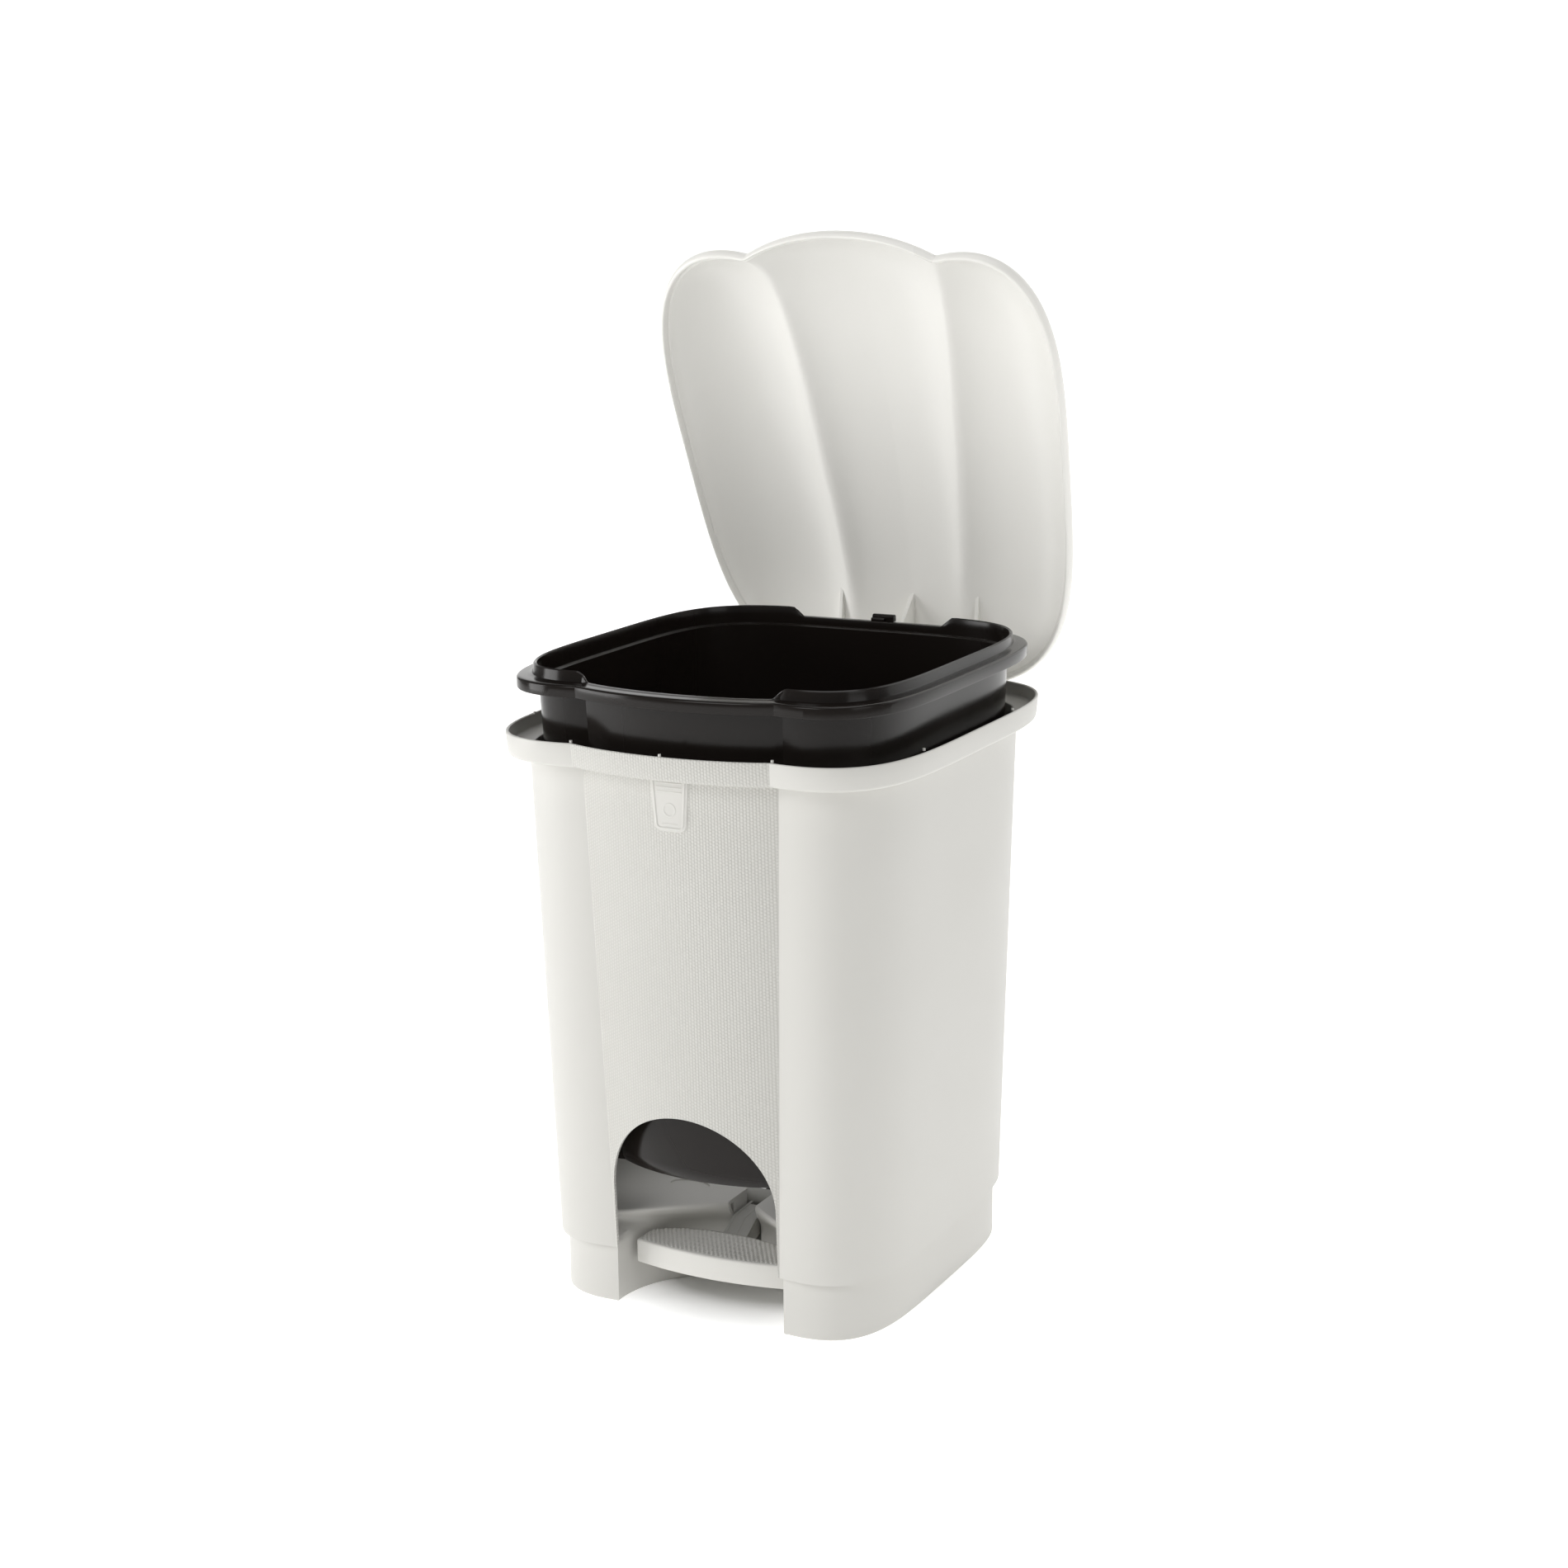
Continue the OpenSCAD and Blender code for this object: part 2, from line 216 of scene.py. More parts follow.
def round_x(radius, x0, x1, y, z, sides=40):
    """A closed cylinder along X: a circle carried from x0 to x1 and drawn in at both ends."""
    a = np.linspace(0, 2 * np.pi, sides, endpoint=False)
    eased = radius - 0.4
    stations = [(0, x0), (eased, x0), (radius, x0 + 0.4), (radius, x1 - 0.4), (eased, x1), (0, x1)]
    rows = [np.stack([np.full(sides, x), y + r * np.cos(a), z + r * np.sin(a)], axis=-1) for r, x in stations]
    return np.stack(rows), False, True


print("prism of a square:", prism([[0, 0], [1, 0], [1, 1], [0, 1]], 0, 1)[0].shape)

# %% [markdown]
# ## Outer shell
# The shell is one moulding: a drafted wall, a rim that stands out with a rounded fold, and an arched
# opening for the foot. The wall profile is a list of (offset, height) stations that goes up outside
# and down inside. It is carried round the plan in two strips, one from the right of the arch around
# the back to its left, and one above the arch, whose lower rows bend up to follow the arch exactly.

# %% Outer shell
LOW_ROWS, HIGH_ROWS = 10, 44
low = np.linspace(WALL_BOTTOM, ARCH_SPRING, LOW_ROWS)
high = np.linspace(ARCH_SPRING, RIM_START, HIGH_ROWS)


def arc(cx, cz, r, a0, a1, n=6):
    """Stations on a quarter-round from angle a0 to a1, in degrees."""
    a = np.radians(np.linspace(a0, a1, n))
    return [(cx + r * math.cos(t), cz + r * math.sin(t)) for t in a]


rim = (
    arc(3.2, 380.2, 3.2, 180, 90, 6)
    + arc(9.6, 385.9, 2.4, -90, -4, 6)
    + [(12.4, 392.0)]
    + arc(11.8, 399.0, 1.0, 0, 180, 7)
    + arc(8.9, 391.4, 1.9, 0, -90, 5)
    + arc(-1.5, 388.5, 1.0, 90, 180, 4)
)
outer_low = [(0.0, z) for z in low]
outer_high = [(0.0, z) for z in high[:-1]]
inner_high = [(-WALL, z) for z in high[::-1]]
inner_low = [(-WALL, z) for z in low[::-1]]
side_stations = np.array(outer_low[:-1] + outer_high + rim + inner_high + inner_low[1:])
front_stations = np.array(outer_high + rim + inner_high)


def shell_side():
    """The strip from the arch's right edge round the back to its left edge."""
    out, z = side_stations[:, :1], side_stations[:, 1:]
    at = wall_sizes(z, out)[4]
    a, b = front_angle(ARCH_R, z, out), front_angle(at, z, out)
    stops = [a, b, 0 * a, 0 * a + np.pi / 2, 0 * a + np.pi, np.pi - b, np.pi - a]
    return wall_points(spread(stops, [4, 70, 60, 60, 70, 4]), z, out)


def shell_front():
    """The strip above the arch: x is R sin t, and low rows are squeezed up to the arch's line."""
    out, z = front_stations[:, :1], front_stations[:, 1:]
    t = np.linspace(-np.pi / 2, np.pi / 2, 61)[None, :]
    x = ARCH_R * np.sin(t)
    foot = ARCH_SPRING + ARCH_R * np.cos(t)
    share = np.clip((z - ARCH_SPRING) / (RIM_START - ARCH_SPRING), 0, 1)
    height = np.where(z <= RIM_START, foot + share * (RIM_START - foot), z + 0 * x)
    wide, front, back, step, at = wall_sizes(height, out)
    y = (back - front) / 2 - (back + front) / 2 * (1 - np.abs(x / wide) ** PLAN_POWER) ** (1 / PLAN_POWER)
    y = y + step * seam_step(x + 0 * y, at, 155.0)
    return np.stack([x + 0 * y, y, height], axis=-1)


side = shell_side()
front = shell_front()
jamb_right = np.stack([side[:LOW_ROWS, 0], side[-LOW_ROWS:, 0][::-1]], axis=1)
jamb_left = np.stack([side[:LOW_ROWS, -1], side[-LOW_ROWS:, -1][::-1]], axis=1)
shell = piece(
    "shell_moulding",
    [(side, True, False), (front, True, False), (jamb_right, False, False), (jamb_left, False, False)],
    "body",
    ["outer_shell"],
)

# %% [markdown]
# ## Two cuts in the back of the shell
# The lid's push arm passes through a notch in the rim, and the lever's tongue leaves through a slot
# low in the back wall. Both are square-sided cuts, so a box is taken away from the finished grid.


# %% Cut the notch and the slot
def take_away(thing, tool_mesh, folded):
    """Takes the solid in a mesh out of a piece for good; folded is for a sheet that meets itself."""
    tool = bpy.data.objects.new("cutter", tool_mesh)
    bpy.context.scene.collection.objects.link(tool)
    cut = thing.modifiers.new("cut", "BOOLEAN")
    cut.operation, cut.solver, cut.object, cut.use_self = "DIFFERENCE", "EXACT", tool, folded
    bpy.context.view_layer.update()
    ready = thing.evaluated_get(bpy.context.evaluated_depsgraph_get())
    result = bpy.data.meshes.new_from_object(ready)
    thing.modifiers.remove(cut)
    thing.data = result
    bpy.data.objects.remove(tool)


def cut_boxes(thing, boxes, folded=False):
    """Takes boxes, each a low and a high corner in millimetres, out of a piece for good."""
    cutter_mesh = bpy.data.meshes.new("cutter")
    work = bmesh.new()
    for lo, hi in boxes:
        size = Vector(hi) - Vector(lo)
        middle = (Vector(hi) + Vector(lo)) / 2
        place = Matrix.Translation(middle * MM) @ Matrix.Diagonal((*(size * MM), 1))
        bmesh.ops.create_cube(work, size=1, matrix=place)
    work.to_mesh(cutter_mesh)
    work.free()
    take_away(thing, cutter_mesh, folded)
    smooth(thing, 27)


cut_boxes(shell, [((-7, 155.6, RIM_Z - 22), (7, 176, RIM_Z + 2)), ((-8, 138, 30), (8, 152, 56))])
round_edges(shell, 0.7, 50)
print("shell faces after the cuts:", len(shell.data.polygons))

# %% [markdown]
# ## Plinth
# The plinth is one moulding too: a low wall around the bin, a floor that the bucket rests on, and a
# toe space that is cut in from the front. In plan the toe space is half a superellipse, and its top
# edge opens out into a straight V. The closed outline is carried from the middle of the floor, over
# the edge, down the outside, and back up inside, so that the whole moulding is a single sheet.

# %% Plinth
TOE_HALF, TOE_FRONT, TOE_DEPTH = 64.0, -125.0, 68.0
FOOT_TOP = 41.0


def ease(t):
    """A smooth step from nought to one."""
    t = np.clip(t, 0, 1)
    return t * t * (3 - 2 * t)


def plinth_outline(z):
    """The closed plan at height z: the body's outer curve, then the toe space from left to right."""
    flare = ease((z - FOOT_TOP) / 17)
    corner = TOE_HALF + 27 * flare
    wide, reach = 126.3, 141.4
    u = corner / wide
    first = -np.arctan2((1 - u**PLAN_POWER) ** (1 / PLAN_POWER), u)
    t = np.linspace(0, 1, 260)
    a = first + (np.pi - 2 * first) * t
    r = (np.abs(np.cos(a)) ** PLAN_POWER + np.abs(np.sin(a)) ** PLAN_POWER) ** (-1 / PLAN_POWER)
    x, y = wide * r * np.cos(a), reach * r * np.sin(a)
    y = y + np.where(y < 0, 11.3 * seam_step(x, 62.0, 155.0), 0)
    w = np.linspace(-np.pi / 2, np.pi / 2, 70)[1:-1]
    share = np.sin(w)
    low_x = TOE_HALF * share
    low_y = TOE_FRONT + TOE_DEPTH * np.sqrt(1 - np.abs(share) ** 2.2)
    top_x = corner * share
    top_y = -58.5 - 0.75 * np.abs(top_x)
    toe = np.stack([low_x + (top_x - low_x) * flare, low_y + (top_y - low_y) * flare], axis=-1)
    return np.concatenate([np.stack([x, y], axis=-1), toe])


def pulled_in(outline, by):
    """The closed outline moved towards its inside, along its own normals."""
    along = np.roll(outline, -1, axis=0) - np.roll(outline, 1, axis=0)
    along /= np.linalg.norm(along, axis=1, keepdims=True)
    return outline + by * np.stack([-along[:, 1], along[:, 0]], axis=-1)


def level(outline, z):
    """An outline in plan as a row of points at one height."""
    return np.column_stack([outline, np.full(len(outline), z)])


MIDDLE = np.array([0.0, 25.0])
top = plinth_outline(FLOOR_Z)
rows = [level(MIDDLE + (pulled_in(top, 2.0) - MIDDLE) * f, FLOOR_Z) for f in (0, 0.25, 0.5, 0.75, 0.9, 1)]
rows += [level(pulled_in(top, 2.0 - x), z - 2.0 + FLOOR_Z) for x, z in arc(0, 0, 2.0, 90, 0, 5)]
rows += [level(plinth_outline(z), z) for z in np.linspace(57, FOOT_TOP, 7)]
rows += [level(plinth_outline(z), z) for z in np.linspace(FOOT_TOP, 0.8, 6)[1:]]
rows += [level(pulled_in(plinth_outline(0), 0.8), 0), level(pulled_in(plinth_outline(0), 2.5), 0)]
rows += [level(pulled_in(plinth_outline(z), 2.5), z) for z in np.linspace(FOOT_TOP, 57, 6)]
rows += [level(MIDDLE + (pulled_in(top, 4) - MIDDLE) * f, FLOOR_Z - 2.6) for f in (0.9, 0.6, 0.3, 0)]
plinth = piece("plinth_moulding", [(np.stack(rows), False, True)], "body", ["base_plinth"])

# %% [markdown]
# ## Openings in the plinth
# The lever runs in an open channel through the middle of the floor, its cross shaft lies in a slot,
# and the tongue passes the back wall. A shallow oval seat lies beside the shaft on each side. They
# are all cut away from the finished sheet. Two bent trays then line the slot, two cheeks and a short
# floor line the front of the channel and stop short of the shaft, and two axle bosses are added.

# %% Cut the plinth
CHANNEL = 10.5


def oval_tool(x, y, rx, ry, z0, z1):
    """A closed elliptical plug: one ellipse carried from z0 to z1 and drawn in at both ends."""
    a = np.linspace(0, 2 * np.pi, 64, endpoint=False)
    rows = [(0, z0), (1, z0), (1, z1), (0, z1)]
    rings = [[x + f * rx * np.cos(a), y + f * ry * np.sin(a), np.full(64, z)] for f, z in rows]
    return np.stack([np.stack(ring, axis=-1) for ring in rings])


def cut_grid(thing, grid):
    """Takes the solid inside one closed grid out of a piece for good."""
    mesh = bpy.data.meshes.new("plug")
    rows, cols = grid.shape[:2]
    mesh.from_pydata((grid.reshape(-1, 3) * MM).tolist(), [], quads(rows, cols, False, True).tolist())
    work = bmesh.new()
    work.from_mesh(mesh)
    bmesh.ops.remove_doubles(work, verts=work.verts, dist=2e-6)
    bmesh.ops.recalc_face_normals(work, faces=work.faces)
    work.to_mesh(mesh)
    work.free()
    take_away(thing, mesh, True)


for side_sign in (-1, 1):
    cut_grid(plinth, oval_tool(side_sign * 51, -48, 15, 9.3, FLOOR_Z - 1.2, FLOOR_Z + 2))
cut_boxes(plinth, [((-CHANNEL, -75, 31), (CHANNEL, -30, 61)), ((-8, 130, -1), (8, 152, 56))], folded=True)
cut_boxes(plinth, [((-41, -37, 41.5), (41, -19, 61))], folded=True)
round_edges(plinth, 0.8, 45)


def trough(path, thick, x0, x1):
    """A bent plate: each station of a path in (y, z) is a flat ring of four corners, across X."""
    path = np.array(path, float)
    along = np.gradient(path, axis=0)
    along /= np.linalg.norm(along, axis=1, keepdims=True)
    other = path + thick * np.stack([-along[:, 1], along[:, 0]], axis=-1)
    corners = [(x0, path), (x1, path), (x1, other), (x0, other)]
    grid = np.stack([np.column_stack([np.full(len(path), x), yz]) for x, yz in corners], axis=1)
    first = grid[:1].mean(axis=1, keepdims=True) + 0 * grid[:1]
    last = grid[-1:].mean(axis=1, keepdims=True) + 0 * grid[-1:]
    return np.concatenate([first, grid, last]), False, True


pocket = [(-39.5, 57.6), (-39.5, 49), (-39.2, 41), (-38, 39.5), (-30, 39.5)]
pocket += [(-18, 39.5), (-16.8, 41), (-16.5, 49), (-16.5, 57.6)]
trays = [trough(pocket, 2.0, x0, x0 + 30) for x0 in (-43, 13)]
piece("shaft_trays", trays, "body", None, bevel=0.4)
cheek = [(-57, 30), (-37.5, 30), (-37.5, 57.6), (-57, 57.6)]
cheeks = [prism(cheek, x0, x0 + 2) for x0 in (-12.8, 10.8)]
cheeks.append(prism([(-57, 29), (-16, 29), (-16, 31), (-57, 31)], -12.8, 12.8))
piece("channel_cheeks", cheeks, "body", None, bevel=0.4)
bosses = [round_x(9.5, s * 53 - 9, s * 53 + 9, -28, 48.0) for s in (-1, 1)]
piece("axle_bosses", bosses, "body", None, bevel=0.5)
print("plinth faces after the cuts:", len(plinth.data.polygons))

# %% [markdown]
# ## Bucket
# The bucket is glossy and dark, so its edges are what shows. Its profile goes up the outside, folds
# out into a flange with a rolled edge, rises into a low lip, and comes down inside. The lip is cut
# away in the middle of the front and of the back, which is a matter of height as a function of x.

# %% Bucket
LIP_RISE = 7.0


def lip_height(x, y, share):
    """The lip's rise at x: none in the middle, full outside, with a rounded end 9 mm long."""
    gate = np.where(y < 0, 73.0, 61.0)
    return share * LIP_RISE * np.sqrt(ease((np.abs(x) - gate) / 9 + 0.5))


outside = [(-26.0, 63.0), (-21.0, 63.3), (-17.5, 65.0), (-15.0, 68.5), (-13.0, 76.0)]
outside += [(-13 + 5 * s, 76 + 314 * s) for s in np.linspace(0, 1, 16)[1:]]
flange_under = [(-8.0, 393.0)] + [(-3.5, 396.0), (3.0, 396.2)] + [(3.9, 395.6), (4.2, 391.4)]
flange_over = arc(5.1, 391.4, 0.9, 180, 360, 5) + arc(3.9, 397.1, 2.0, 8, 90, 6)
flange_over += [(0.5, 399.3), (-1.6, 399.4)]
lip_out = [(-2.6, 399.8, 0.0), (-3.1, 399.9, 0.35), (-3.3, 399.9, 0.7), (-3.5, 399.8, 0.92)]
lip_in = [(-4.4, 400.0, 1.0), (-5.3, 399.8, 0.92), (-5.75, 399.4, 0.6), (-5.82, 399.0, 0.2)]
inside = [(-5.88, 396.0)] + [(-5.88 - 5.12 * s, 396 - 324 * s) for s in np.linspace(0, 1, 16)[1:]]
inside += [(-12.5, 66.5), (-15.5, 62.0), (-20.0, 60.3), (-26.0, 60.0)]
stations = np.array(
    [(o, z, 0.0) for o, z in outside[:-1] + flange_under + flange_over]
    + lip_out
    + lip_in
    + [(o, z, 0.0) for o, z in inside]
)


def bucket_sheet(stations):
    """The profile carried round the plan, with the lip's rise added where the profile says so."""
    out, z, share = stations[:, :1], stations[:, 1:2], stations[:, 2:]
    at = wall_sizes(z, out)[4]
    b = front_angle(at, z, out)
    stops = [b, 0 * b, 0 * b + np.pi / 2, 0 * b + np.pi, np.pi - b, 2 * np.pi + b]
    angle = spread(stops, [80, 60, 60, 80, 90])[:, :-1]
    points = wall_points(angle, z, out)
    rise = lip_height(points[..., 0], points[..., 1], share)
    points[..., 2] += rise + BUCKET_LIFT
    return points


sheet = bucket_sheet(stations)
bottom_out = np.stack([sheet[0] * [f, f, 1] for f in (0, 0.5, 1)])
bottom_in = np.stack([sheet[-1] * [f, f, 1] for f in (1, 0.5, 0)])
bucket = piece(
    "bucket_moulding",
    [(bottom_out, False, True), (sheet, False, True), (bottom_in, False, True)],
    "bucket",
    ["bucket"],
    sharp=26,
)

# %% [markdown]
# ## Hook on the bucket
# A small hook stands on the back of the bucket's rim. It is a rounded block with a lower step in
# front of it, both swept across X from their side outlines.

# %% Bucket hook
def raised(outline):
    """A side outline lifted with the bucket."""
    return [(y, z + BUCKET_LIFT) for y, z in outline]


block = [(155.2, 399.4), (160.4, 399.4), (160.4, 403.4), (159.2, 404.7), (156.4, 404.7), (155.2, 403.4)]
step = [(152.8, 399.2), (156, 399.2), (156, 402.4), (153.6, 402.4), (152.8, 401.6)]
hook = [prism(raised(block), -2.1, 15.1), prism(raised(step), -2.1, 8.5)]
piece("bucket_hook", hook, "bucket", ["bucket_tab"], bevel=0.7)

# %% [markdown]
# ## Lid
# The lid is drawn closed and then turned about its hinge, which is how it is moulded and fitted. Its
# dome is a family of outlines, each a share f of the edge outline, lifted by (1 - f cubed) to a
# power so that the sides are steep and the top is flat. Two long creases part it into three lobes:
# a crease takes most height away on its line and fades over some centimetres. A low skirt runs
# round the edge, and the front edge has two notches.

# %% Lid surface
LID_POWER = 3.6
LID_HALF, LID_REACH, LID_MIDDLE = 152.8, 180.2, 4.9
SKIRT = 6.0
LID_WALL = 2.2
INNER = -5.6


def lid_plan(angle, out, f):
    """Points of the lid's outline at share f: a tapered superellipse whose notches fade inwards."""
    c, s = np.cos(angle), np.sin(angle)
    r = (np.abs(c) ** LID_POWER + np.abs(s) ** LID_POWER) ** (-1 / LID_POWER)
    y = LID_MIDDLE + (LID_REACH + out) * r * s
    x = (LID_HALF + out) * r * c * (1 - 0.00045 * y)
    notch = np.where(s < 0, 15 * seam_step(x, 73.0, 150.0), 0) * ease((f - 0.5) / 0.5)
    return f * x, f * (y + notch)


def crease(x, y):
    """Height taken away near the two crease lines: full on the line, fading over some centimetres."""
    line = 56 - 0.075 * y + 4 * ease((-105 - y) / 60)
    off = np.abs(x) - line
    return 11.0 * np.exp(-(np.sqrt(off**2 + 1.6**2) - 1.6) / 19)


def dome_rows(shares, out, drop):
    """Rows of the dome: the outline at each share, lifted by the dome less the creases."""
    f = np.array(shares)[:, None]
    x, y = lid_plan(lid_angle, out, f)
    z = LID_EDGE + SKIRT - drop + (DOME - SKIRT) * (1 - f**3) ** 0.62 - crease(x, y) * (1 - f**6)
    return np.stack([x, y, z], axis=-1)


def edge_row(out, z):
    """One row of the lid's edge at this offset and height."""
    x, y = lid_plan(lid_angle, out, np.ones((1, 1)))
    return np.stack([x, y, np.full_like(x, z)], axis=-1)


u = 0.4414
b = np.array([[-math.atan2((1 - u**LID_POWER) ** (1 / LID_POWER), u)]])
stops = [b, 0 * b, 0 * b + np.pi / 2, 0 * b + np.pi, np.pi - b, 2 * np.pi + b]
lid_angle = spread(stops, [60, 44, 44, 60, 80])[:, :-1]
edge = [(-0.1, 406.5), (-0.5, 404.6), (-1.2, 403.0), (-1.7, 402.3), (-2.4, 402.0)]
edge += [(-3.1, 402.3), (-3.6, 403.0), (-3.9, 406.2), (-4.2, 407.0), (-5.4, 407.2)]
outer_dome = dome_rows(np.sin(np.linspace(0, np.pi / 2, 46))[:-1], 0, 0)
inner_dome = dome_rows(np.sin(np.linspace(np.arcsin(0.99), 0, 44)), INNER, LID_WALL)
lid_rows = np.concatenate([outer_dome] + [edge_row(o, z) for o, z in edge] + [inner_dome])
lid = piece("lid_moulding", [(turned(lid_rows), False, True)], "lid", ["lid"], sharp=45)

# %% [markdown]
# ## Lid arms and ribs
# Two arms reach from the lid's back to the hinge pins, and a third carries the round heel that the
# push rod lifts. Inside, three thin ribs stiffen the back wall. Each is a side outline with a
# thickness, drawn closed and turned with the lid.

# %% Lid arms and ribs
HEEL = (163.16, 360.81)
REAR_TAPER = 0.917


def turned_prism(outline, x0, x1):
    """A prism in the closed lid's place, turned with the lid."""
    grid, close_rows, close_cols = prism(outline, x0, x1)
    return turned(grid), close_rows, close_cols


def turned_round(radius, x0, x1, y, z):
    """A cylinder in the closed lid's place, turned with the lid."""
    grid, close_rows, close_cols = round_x(radius, x0, x1, y, z)
    return turned(grid), close_rows, close_cols


arm = [(175.5, 374), (188.5, 374), (188.5, 396), (184, 404), (176, 415)]
arm += [(168, 419.5), (168, 408), (175.5, 398)]
push = [(161.0, 362.9), (165.3, 358.7), (171.5, 372), (172.5, 378), (172.5, 418.5), (166, 423.5), (166, 373)]
arms = []
for x0 in (-60, 52):
    arms += [turned_prism(arm, x0, x0 + 8), turned_round(6.5, x0, x0 + 8, *HINGE)]
piece("lid_arms", arms, "lid", None, bevel=0.6)
heel = [turned_prism(push, -4, 4), turned_round(3.0, -4, 4, *HEEL)]
piece("push_arm", heel, "lid", None, bevel=0.5)


def rib_outline(x, reach, height):
    """A triangular rib at x on the inside of the back wall, from the edge up to its point."""
    shares = np.linspace(0.99, height, 12)
    sideways = x / (shares * (LID_HALF + INNER) * REAR_TAPER)
    across = (1 - np.abs(sideways) ** LID_POWER) ** (1 / LID_POWER)
    y = shares * (LID_MIDDLE + (LID_REACH + INNER) * across)
    z = LID_EDGE + SKIRT - LID_WALL + (DOME - SKIRT) * (1 - shares**3) ** 0.62
    z = z - crease(x, y) * (1 - shares**6) + 0.8
    return [(float(a), float(c)) for a, c in zip(y, z)] + [(y[0] - reach, z[0] + 1.0)]


ribs = [turned_prism(rib_outline(x, 15, 0.70), x - 1.4, x + 1.4) for x in (-56.0, 56.0)]
ribs.append(turned_prism(rib_outline(0.0, 40, 0.70), -1.6, 1.6))
piece("lid_ribs", ribs, "lid", None, bevel=0.4)

# %% [markdown]
# ## Pedal tread
# The tread is a D-shaped pad: a shallow arc in front, a half ellipse behind. Its top is a grid in
# which each column runs from the front arc to the back one, and the height carries two families of
# crossing ribs. The side wall goes down from the same border, so the two meet without a gap.

# %% Pedal tread
TREAD_HALF = 57.0
RIB_PITCH = 3.5


def tread_plan(u, v, inset):
    """The D-shape: u runs across, v from the front arc to the back one, inset pulls the border in."""
    half = TREAD_HALF - inset
    x = half * np.sin(u * np.pi / 2)
    front = -121 + 7 * (x / TREAD_HALF) ** 2 + inset
    back = -100 + (23 - inset) * np.sqrt(np.clip(1 - (x / half) ** 2, 0, 1))
    return x, front + (back - front) * v


def knurl(x, y):
    """Crossing ribs: the lower of two slanted waves, so that little lozenges stand between grooves."""
    a = 0.5 + 0.5 * np.cos(2 * np.pi * (x + 0.6 * y) / RIB_PITCH)
    c = 0.5 + 0.5 * np.cos(2 * np.pi * (x - 0.6 * y) / RIB_PITCH)
    return np.minimum(a, c)


u, v = np.meshgrid(np.linspace(-1, 1, 241), np.linspace(0, 1, 66), indexing="ij")
x, y = tread_plan(u, v, 1.6)
inside_border = ease((1 - np.abs(u)) / 0.05) * ease(v / 0.03) * ease((1 - v) / 0.04)
pad_top = np.stack([x, y, 41.8 + 1.2 * knurl(x, y) * inside_border], axis=-1)
loop_u = np.concatenate([np.linspace(-1, 1, 241), np.ones(64), np.linspace(1, -1, 241), -np.ones(64)])
up, down = np.linspace(0, 1, 66)[1:-1], np.linspace(1, 0, 66)[1:-1]
loop_v = np.concatenate([np.zeros(241), up, np.ones(241), down])


def tread_ring(inset, z):
    """The tread's border at this inset and height."""
    x, y = tread_plan(loop_u, loop_v, inset)
    return np.stack([x, y, np.full_like(x, z)], axis=-1)


pad_side = np.stack(
    [tread_ring(1.6, 42.0), tread_ring(0.8, 41.8), tread_ring(0.2, 41.2), tread_ring(0.0, 40.4)]
    + [tread_ring(0.0, z) for z in (36, 31, 26)]
    + [tread_ring(0.3, 25.2), tread_ring(2.4, 25.0), tread_ring(2.6, 26), tread_ring(2.6, 38.5)]
)
under = np.stack([tread_ring(2.6, 38.5) * [f, f, 1] + [0, -100 * (1 - f), 0] for f in (1, 0.6, 0.2, 0)])
pad_grids = [(pad_top, False, False), (pad_side, False, True), (under, False, True)]
tread = piece("tread_pad", pad_grids, "pedal", ["pedal_tread"], sharp=60)

# %% [markdown]
# ## Lever cover
# A thin plate closes the front of the lever between its ribs, so that it reads as one flat bar.

# %% Lever cover
cover_top = [(-79, 39.6), (-62, 48.8), (-40, 49.7)]
cover = prism(cover_top + [(-40, 48.1), (-62.4, 47.2), (-79, 38.0)], -8.8, 8.8)
piece("lever_cover", [cover], "pedal", None, bevel=0.3)

# %% [markdown]
# ## Plaque
# A small plain plaque stands on the front panel just under the rim. It is one patch of the panel
# itself, pushed forward: by nothing outside the shield, by a millimetre inside it, and by a little
# more along a border, a plain ring, three short bars at the top and one near the foot.

# %% Plaque
def panel_y(x, z):
    """The front of the wall at x and z."""
    wide, front, back, step, at = wall_sizes(z, 0.0)
    crown = (1 - np.abs(x / wide) ** PLAN_POWER) ** (1 / PLAN_POWER)
    return (back - front) / 2 - (back + front) / 2 * crown + step * seam_step(x, at, 155.0)


def shield_inside(x, z):
    """Distance inside the shield's border, in mm: sides that narrow downwards and a rounded foot."""
    half = 13.2 + 0.07 * (z - 365)
    side_gap = half - np.abs(x)
    foot_gap = z - 347.5
    both = 5.5 - np.hypot(np.clip(5.5 - side_gap, 0, None), np.clip(5.5 - foot_gap, 0, None))
    return np.minimum(np.minimum(side_gap, foot_gap), both)


def bar(distance, half_width, height, soft=0.35):
    """A low rounded bar along the line where the distance is nought."""
    return height * ease((half_width + soft - np.abs(distance)) / (2 * soft))


x, z = np.meshgrid(np.linspace(-15.5, 15.5, 150), np.linspace(346.5, 383.5, 180), indexing="ij")
gap = shield_inside(x, z)
relief = -0.5 + 1.4 * ease(gap / 0.9 + 0.2) + bar(gap - 2.6, 0.55, 0.55)
for bar_z in (374.5, 377.5, 380.5):
    relief += bar(z - bar_z, 0.35, 0.3) * ease((9.5 - np.abs(x)) / 0.6)
relief += bar(np.hypot(x, z - 362.5) - 4.2, 0.45, 0.3)
relief += bar(z - 353.0, 0.35, 0.3) * ease((6 - np.abs(x)) / 0.6)
face = np.stack([x, panel_y(x, z) - relief, z], axis=-1)
behind = np.stack([x, panel_y(x, z) + 0.9, z], axis=-1)


def rim_of(grid):
    """The border of a grid as one loop of points."""
    return np.concatenate([grid[:-1, 0], grid[-1, :-1], grid[:0:-1, -1], grid[0, :0:-1]])


